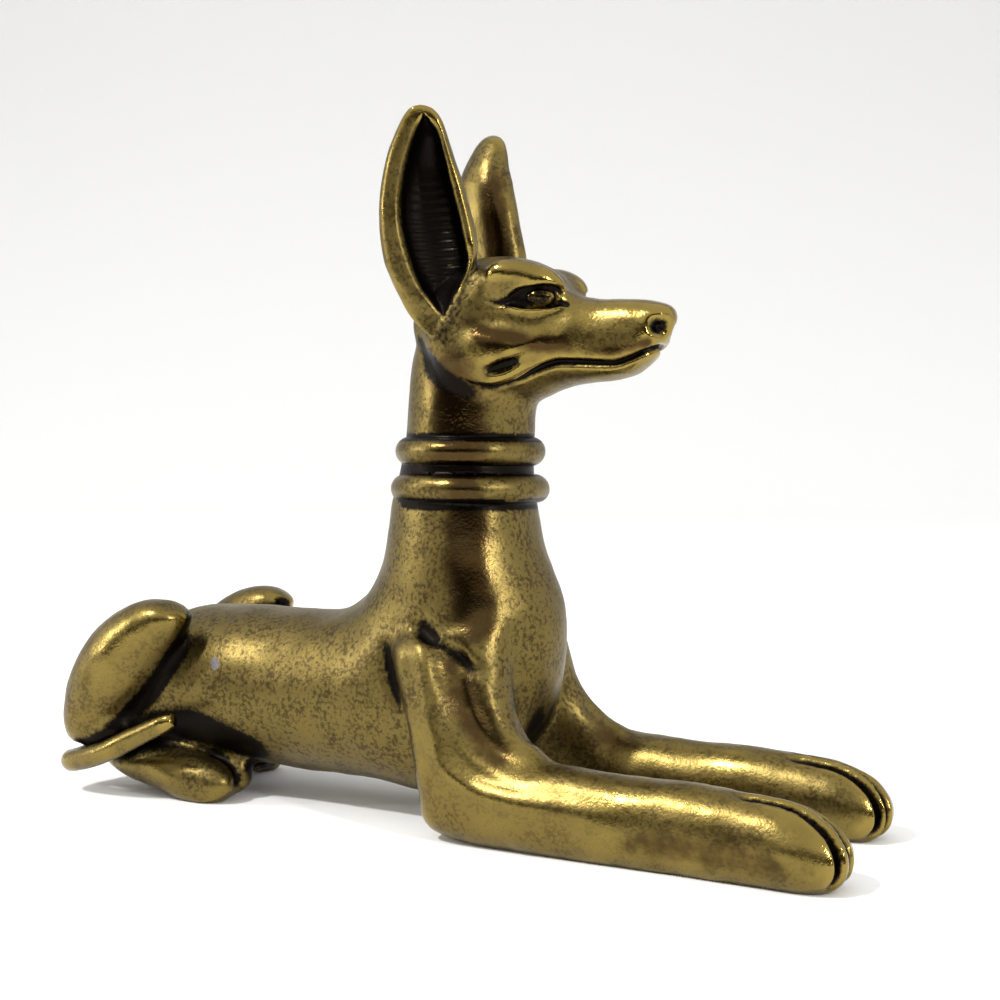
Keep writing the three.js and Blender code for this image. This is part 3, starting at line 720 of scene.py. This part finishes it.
def soot_and_shade_in_ears(skin):
    """Blackens the hollows with soot and painted shade: between their edges, near the ear's plane and facing
    out.
    """
    x, y, z = skin.points.T
    rows = np.array([[z, *front, *back] for z, front, back in EAR]).T
    front_x, front_y, back_x, back_y = (np.interp(z, rows[0], row) for row in rows[1:])
    half_x, half_y = (front_x - back_x) / 2, (front_y - back_y) / 2
    width = np.maximum(np.hypot(half_x, half_y), 0.1)
    off_x, off_y = x - (front_x + back_x) / 2, -np.abs(y) - (front_y + back_y) / 2
    u = (off_x * half_x + off_y * half_y) / width ** 2
    depth = (off_x * half_y - off_y * half_x) / width
    back_edge, front_edge, ends = hollow_edges(z)
    between = (u > back_edge - 0.02) & (u < front_edge + 0.01) & (ends > 0)
    near_plane = (depth > EAR_SOOT_AND_SHADE_DEEPEST) & (depth < EAR_SOOT_AND_SHADE_HIGHEST)
    outward = skin.normals[:, 0] * half_y + skin.normals[:, 1] * np.sign(y) * half_x
    skin.gather(between & near_plane & (outward > -0.1 * width))


def lay_soot_and_shade(skin):
    """Soot and painted shade where the joined forms meet the body, in the ears and under the haunch, and
    painted shadow on the far hind foot.
    """
    skin.lay_soot_and_shade(EYE_MIDDLE, reach=1.0, amount=0.62)
    skin.lay_soot_and_shade(EAR_FOOT, reach=0.9, amount=0.5)
    # Under the haunch and tail and inside the hind feet: soot with painted shade
    skin.lay_soot_and_shade(UNDER_HAUNCH, reach=1.25, amount=1.0)
    skin.lay_soot_and_shade(UNDER_TAIL, reach=2.2, amount=1.0)
    skin.lay_soot_and_shade(INNER_FOOT, reach=1.7, amount=1.0)
    # Painted shadow on the far hind foot
    skin.lay_soot_and_shade(FAR_FOOT_SHADOW, reach=2.0, amount=1.0, sides=(1,))
    soot_and_shade_round_collar(skin)
    soot_and_shade_in_ears(skin)


# Masks that the brass reads

SHARPEST_BEND = 4


def bending(skin):
    """How hollow the skin is at each point, as one over the radius; below 0 where it swells."""
    step = skin.points[skin.edges[:, 0]] - skin.points[skin.edges[:, 1]]
    length = np.tile((step ** 2).sum(1)[:, None], (1, 2)).ravel()
    around = np.bincount(skin.edges.ravel(), minlength=len(skin.points))
    spread = np.bincount(skin.edges.ravel(), length, len(skin.points)) / np.maximum(around, 1)
    lift = ((neighbour_mean(skin.points, skin.edges) - skin.points) * skin.normals).sum(1)
    return np.clip(2 * lift / np.maximum(spread, 1e-4), -SHARPEST_BEND, SHARPEST_BEND)[:, None]


def handled(points):
    """Where hands have kept the brass bright: forearms, face, ear tips and thighs."""
    x, y, z = points.T
    forearm = up_to(z, 5.0, 5.0) * past(x, -1.5, 2.5)
    face = up_to(-z, -30.5, 2.5) * past(x, 0.5, 2.5) * up_to(z, 36.5, 1.5)
    ears = past(z, 37.0, 3.0)
    thigh = up_to(-np.abs(y), -7.6, 2.0) * past(-x, 17.5, 2.0)
    return 0.28 * forearm + 0.33 * face + 0.12 * ears + 0.22 * thigh


def save_mask(mesh, name, values):
    layer = mesh.attributes.new(name, "FLOAT", "POINT")
    layer.data.foreach_set("value", np.clip(values, 0, 1).astype(np.float32))


def save_masks(skin):
    """Hollows are blackened with soot and painted shade and swells are rubbed, both over a few points of the
    skin and over many.
    """
    bend = bending(skin)
    near, far = (relax(bend, skin.edges, times)[:, 0] for times in (8, 60))
    recess = np.clip(near - 0.15, 0, 1) * 0.5 + np.clip(far * 1.6 - 0.1, 0, 1) * 0.5
    edges = np.clip(-near * 0.45 - 0.1, 0, 0.45) + np.clip(-far * 0.6 - 0.15, 0, 0.4)
    save_mask(skin.mesh, "recess", np.maximum(recess, skin.soot_and_shade))
    save_mask(skin.mesh, "rubbed", edges + handled(skin.points))
    save_mask(skin.mesh, "pale", skin.nearness(PALE_SPOT, PALE_SPOT_REACH, sides=(1,)))
    # Painted dark reflection bands
    dark_reflection = sum(skin.nearness(path, reach) * share for path, reach, share in DARK_REFLECTION_PATHS)
    save_mask(skin.mesh, "dark_reflection", dark_reflection)


def model_casting():
    """The whole figure: masses fused into one skin, carved, joined to the crisp forms and given its masks."""
    piece = piece_of(body_clay(), "jackal_casting")
    fuse(piece)
    write_points(piece.data, relax(read_points(piece.data), read_edges(piece.data), 8))
    refine(piece, FINE_REGIONS)
    carved = Carving(piece.data)
    carved.relax(2)
    carve_eyes(carved)
    carve_muzzle(carved)
    carve_body(carved)
    carve_toes(carved)
    join_on(piece, crisp_clay())
    skin = Carving(piece.data)
    skin.carry_over(carved)
    skin.soften(EAR_FOOT, reach=1.6, times=36)
    skin.uneven(height=0.08, size=2.8)
    skin.uneven(height=0.03, size=1.1)
    skin.flatten_soles()
    lay_soot_and_shade(skin)
    save_masks(skin)
    skin.mesh.transform(Matrix.Diagonal((*(STRETCH * MM), 1)) @ Matrix.Translation(-ORIGIN))
    for face in skin.mesh.polygons:
        face.use_smooth = True
    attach(piece, "root")
    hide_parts(NODE)
    return piece


# Node helpers

def link(tree, source, target):
    tree.links.new(source, target)


def feed(tree, value, socket):
    """Gives a socket another node's output, or a plain value."""
    if hasattr(value, "is_output"):
        link(tree, value, socket)
    else:
        socket.default_value = value


def combine(tree, operation, first, second, clamp=False):
    """Two values added, multiplied or the like."""
    made = tree.nodes.new("ShaderNodeMath")
    made.operation = operation
    made.use_clamp = clamp
    feed(tree, first, made.inputs[0])
    feed(tree, second, made.inputs[1])
    return made.outputs[0]


def ramp(tree, value, low_end, high_end):
    """0 below low_end, 1 above high_end, smooth between."""
    made = tree.nodes.new("ShaderNodeMapRange")
    made.interpolation_type = "SMOOTHSTEP"
    made.inputs["From Min"].default_value = low_end
    made.inputs["From Max"].default_value = high_end
    link(tree, value, made.inputs["Value"])
    return made.outputs["Result"]


def blend_colours(tree, share, first, second):
    """From the first colour at share 0 to the second at 1. Sockets 6 and 7 and output 2 are the colours."""
    made = tree.nodes.new("ShaderNodeMix")
    made.data_type = "RGBA"
    link(tree, share, made.inputs["Factor"])
    feed(tree, first, made.inputs[6])
    feed(tree, second, made.inputs[7])
    return made.outputs[2]


def mask(tree, name):
    made = tree.nodes.new("ShaderNodeAttribute")
    made.attribute_name = name
    return made.outputs["Fac"]


def speckle(tree, coordinates, size, detail, rough):
    """Noise whose features measure about size millimetres."""
    made = tree.nodes.new("ShaderNodeTexNoise")
    made.inputs["Scale"].default_value = 1 / (size * MM)
    made.inputs["Detail"].default_value = detail
    made.inputs["Roughness"].default_value = rough
    link(tree, coordinates, made.inputs["Vector"])
    return made.outputs["Fac"]


# Brass: colours as linear red, green, blue and alpha, sizes of its noise in millimetres, and its gloss

POLISHED = (0.265, 0.192, 0.049, 1)
DULL = (0.165, 0.121, 0.037, 1)
# The next colour is the brown of painted dark reflections
DARK_REFLECTION_BROWN = (0.062, 0.036, 0.012, 1)
BROWN = (0.062, 0.043, 0.017, 1)
# The next colour is the black of soot and painted shade in hollows and gaps
SOOT_AND_SHADE = (0.009, 0.007, 0.0055, 1)
PALE = (0.17, 0.152, 0.155, 1)
FRECKLE_SIZE, BLOTCH_SIZE, CLOUD_SIZE, PIT_SIZE = 0.26, 1.5, 5.0, 0.17
DULL_ROUGHNESS, POLISH_GAIN, SOOT_AND_SHADE_ROUGHNESS = 0.4, 0.26, 0.06
BUMP_STRENGTH, BUMP_HEIGHT = 0.6, 0.04 * MM


def aged_brass():
    """Brass that is bright where rubbed, freckled brown elsewhere, painted with dark reflections in bands,
    black with soot and painted shade in grooves.
    """
    material = bpy.data.materials.new("aged_brass")
    material.use_nodes = True
    tree = material.node_tree
    shader = tree.nodes["Principled BSDF"]
    shader.inputs["Metallic"].default_value = 1.0
    coordinates = tree.nodes.new("ShaderNodeTexCoord").outputs["Object"]
    recess, rubbed, dark_reflection, pale = (mask(tree, name) for name in ("recess", "rubbed", "dark_reflection", "pale"))
    freckle = speckle(tree, coordinates, FRECKLE_SIZE, 3.0, 0.6)
    blotch = speckle(tree, coordinates, BLOTCH_SIZE, 3.0, 0.55)
    cloud = speckle(tree, coordinates, CLOUD_SIZE, 2.0, 0.5)
    pits = speckle(tree, coordinates, PIT_SIZE, 2.0, 0.5)

    def add(first, second, clamp=False):
        return combine(tree, "ADD", first, second, clamp)

    def subtract(first, second):
        return combine(tree, "SUBTRACT", first, second)

    def times(first, second, clamp=False):
        return combine(tree, "MULTIPLY", first, second, clamp)

    def centred(value, weight):
        return times(subtract(value, 0.5), weight)

    wear = add(rubbed, add(centred(cloud, 1.2), centred(freckle, 0.6)))
    shine = ramp(tree, wear, 0.05, 0.8)
    metal = blend_colours(tree, shine, DULL, POLISHED)

    # Painted dark reflection: brown bands where the brass would reflect a dark surround, also made glossier
    # below
    reflected_dark = ramp(tree, add(dark_reflection, centred(blotch, 1.0)), 0.15, 0.75)
    reflected_dark = times(reflected_dark, ramp(tree, dark_reflection, 0.0, 0.4))
    metal = blend_colours(tree, reflected_dark, metal, DARK_REFLECTION_BROWN)

    spots = ramp(tree, add(freckle, centred(blotch, 0.45)), 0.44, 0.66)
    spots = times(spots, subtract(0.95, shine), clamp=True)
    metal = blend_colours(tree, spots, metal, BROWN)

    pale_spot = ramp(tree, add(pale, centred(freckle, 0.8)), 0.4, 0.7)
    metal = blend_colours(tree, pale_spot, metal, PALE)

    # Soot and painted shade: black where the recess mask marks hollows, creases and gaps between parts
    soot_and_shade = ramp(tree, add(recess, centred(freckle, 0.6)), 0.2, 0.7)
    soot_and_shade = times(soot_and_shade, ramp(tree, recess, 0.02, 0.25), clamp=True)
    link(tree, blend_colours(tree, soot_and_shade, metal, SOOT_AND_SHADE), shader.inputs["Base Color"])

    smooth = times(combine(tree, "MAXIMUM", shine, dark_reflection), POLISH_GAIN)
    roughness = add(subtract(DULL_ROUGHNESS, smooth), times(soot_and_shade, SOOT_AND_SHADE_ROUGHNESS), clamp=True)
    link(tree, roughness, shader.inputs["Roughness"])

    bump = tree.nodes.new("ShaderNodeBump")
    bump.inputs["Strength"].default_value = BUMP_STRENGTH
    bump.inputs["Distance"].default_value = BUMP_HEIGHT
    link(tree, add(times(pits, 0.5), times(freckle, -0.6)), bump.inputs["Height"])
    link(tree, bump.outputs["Normal"], shader.inputs["Normal"])
    return material


# Stage, light and camera

CAMERA_PLACE = Vector((47.09, -86.44, 23.95)) * MM
CAMERA_AZIMUTH, CAMERA_DOWN, CAMERA_ROLL = 27.0, 1.9, 0.3
CAMERA_LENS, CAMERA_SENSOR, CAMERA_NEAREST = 54.0, 36.0, 0.005

FLOOR_COLOUR, FLOOR_ROUGHNESS = (0.93, 0.93, 0.92, 1), 0.8
FLOOR_NEAR, FLOOR_FAR, SWEEP_RADIUS, WALL_TOP, FLOOR_HALF_WIDTH = -0.3, 0.45, 0.25, 1.1, 1.3

TENT, TENT_STRENGTH = (1.0, 1.0, 1.0, 1), 1.15
TENT_OPENING, OPENING_AZIMUTH = (0.06, 0.048, 0.04, 1), 20.0
# Softboxes by name: place, width and height, and watts
SOFTBOXES = {
    "key_softbox": ((-0.16, -0.26, 0.36), (0.03, 0.03), 1.4),
    "side_softbox": ((0.4, -0.16, 0.2), (0.02, 0.1), 0.7),
    "strip_softbox": ((-0.36, -0.22, 0.15), (0.01, 0.1), 0.4),
}
SOFTBOX_TARGET = Vector((0, 0, 0.02))


def camera():
    data = bpy.data.cameras.new("camera")
    data.lens, data.sensor_width = CAMERA_LENS, CAMERA_SENSOR
    data.clip_start = CAMERA_NEAREST
    seen = bpy.data.objects.new("camera", data)
    azimuth, down = math.radians(CAMERA_AZIMUTH), math.radians(CAMERA_DOWN)
    back = Vector((math.sin(azimuth) * math.cos(down), -math.cos(azimuth) * math.cos(down), math.sin(down)))
    turn = back.to_track_quat("Z", "Y") @ Matrix.Rotation(math.radians(CAMERA_ROLL), 3, "Z").to_quaternion()
    seen.matrix_world = Matrix.Translation(CAMERA_PLACE) @ turn.to_matrix().to_4x4()
    bpy.context.scene.collection.objects.link(seen)
    bpy.context.scene.camera = seen


def floor_paint():
    material = bpy.data.materials.new("pale_floor")
    material.use_nodes = True
    shader = material.node_tree.nodes["Principled BSDF"]
    shader.inputs["Base Color"].default_value = FLOOR_COLOUR
    shader.inputs["Roughness"].default_value = FLOOR_ROUGHNESS
    return material


def pale_floor():
    """A floor that sweeps up into a wall behind the figure, square to the camera."""
    sweep = bmesh.new()
    profile = [(FLOOR_NEAR, 0.0), (FLOOR_FAR, 0.0)]
    for angle in np.linspace(0.1, math.pi / 2, 12):
        profile.append((FLOOR_FAR + SWEEP_RADIUS * math.sin(angle), SWEEP_RADIUS * (1 - math.cos(angle))))
    profile.append((FLOOR_FAR + SWEEP_RADIUS, WALL_TOP))
    verts = [sweep.verts.new((-FLOOR_HALF_WIDTH, y, z)) for y, z in profile]
    edges = [sweep.edges.new(pair) for pair in zip(verts, verts[1:])]
    made = bmesh.ops.extrude_edge_only(sweep, edges=edges)["geom"]
    far_side = [item for item in made if isinstance(item, bmesh.types.BMVert)]
    bmesh.ops.translate(sweep, verts=far_side, vec=(2 * FLOOR_HALF_WIDTH, 0, 0))
    turn = Matrix.Rotation(math.radians(CAMERA_AZIMUTH), 3, "Z")
    bmesh.ops.rotate(sweep, verts=sweep.verts, cent=(0, 0, 0), matrix=turn)
    bmesh.ops.recalc_face_normals(sweep, faces=sweep.faces)
    floor = piece_of(sweep, "pale_floor")
    for face in floor.data.polygons:
        face.use_smooth = True
    floor.data.materials.append(floor_paint())


def tent():
    """A white tent with a darker opening on the camera's side. The brass reflects the opening, and the
    camera sees white past the floor."""
    world = bpy.data.worlds.new("tent")
    bpy.context.scene.world = world
    world.use_nodes = True
    tree = world.node_tree
    direction = tree.nodes.new("ShaderNodeTexCoord").outputs["Generated"]
    azimuth = math.radians(OPENING_AZIMUTH)
    facing = tree.nodes.new("ShaderNodeVectorMath")
    facing.operation = "DOT_PRODUCT"
    facing.inputs[1].default_value = (math.sin(azimuth), -math.cos(azimuth), 0.0)
    link(tree, direction, facing.inputs[0])
    parts = tree.nodes.new("ShaderNodeSeparateXYZ")
    link(tree, direction, parts.inputs[0])
    ahead = ramp(tree, facing.outputs["Value"], 0.1, 0.6)
    below = ramp(tree, combine(tree, "MULTIPLY", parts.outputs["Z"], -1.0), -0.55, -0.2)
    opening = combine(tree, "MULTIPLY", ahead, below)
    seen = tree.nodes.new("ShaderNodeLightPath").outputs["Is Camera Ray"]
    opening = combine(tree, "MULTIPLY", opening, combine(tree, "SUBTRACT", 1.0, seen))
    background = tree.nodes["Background"]
    background.inputs["Strength"].default_value = TENT_STRENGTH
    link(tree, blend_colours(tree, opening, TENT, TENT_OPENING), background.inputs["Color"])


def softboxes():
    for name, (place, size, power) in SOFTBOXES.items():
        data = bpy.data.lights.new(name, "AREA")
        data.shape = "RECTANGLE"
        data.size, data.size_y = size
        data.energy = power
        lamp = bpy.data.objects.new(name, data)
        lamp.location = place
        lamp.rotation_euler = (Vector(place) - SOFTBOX_TARGET).to_track_quat("Z", "Y").to_euler()
        bpy.context.scene.collection.objects.link(lamp)


bpy.context.scene.view_settings.view_transform = "Standard"
camera()
pale_floor()
tent()
softboxes()
casting = model_casting()
casting.data.materials.append(aged_brass())
